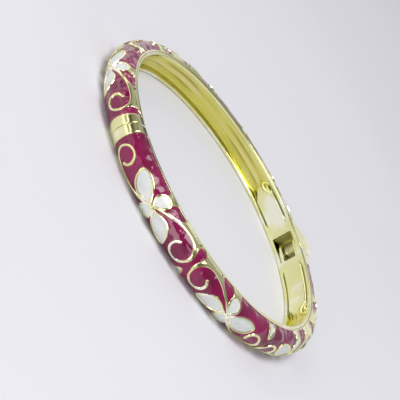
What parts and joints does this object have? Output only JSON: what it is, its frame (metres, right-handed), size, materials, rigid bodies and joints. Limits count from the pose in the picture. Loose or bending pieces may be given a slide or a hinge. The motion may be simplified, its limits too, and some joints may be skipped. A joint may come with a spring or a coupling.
{
  "type": "hinged bangle",
  "caption": "Round hinged bangle that springs shut: cast metal band with a half-round outer face, raised floral scroll wires and glossy crimson and white enamel.",
  "frame": {"origin": "where the ring's own axis meets the surface that the bangle lies on", "axes": "+Z along the ring's axis, upwards; +X towards the hinge; the opening is at -X and the front arm at -Y"},
  "size_m": [0.0682, 0.0666, 0.006],
  "materials": {
    "gold_metal": "polished pale gold plating",
    "crimson_enamel": "glossy crimson enamel",
    "white_enamel": "glossy white enamel",
    "spring_wire": "drawn plated wire"
  },
  "bodies": {
    "rear_half": {"rear_arm": "gold_metal", "rear_enamel": "crimson_enamel", "rear_petals": "white_enamel", "hinge_pin": "gold_metal", "hinge_spring": "spring_wire"},
    "front_half": {"front_arm": "gold_metal", "front_enamel": "crimson_enamel", "front_petals": "white_enamel"}
  },
  "joints": [
    {"name": "hinge", "type": "hinge", "parent": "rear_half", "child": "front_half", "pos_m": [0.03195, 0, 0.003], "axis": [0, 0, 1], "range_deg": [0, 50], "stiffness_Nm_per_rad": 0.03, "springref_deg": -34.38}
  ]
}
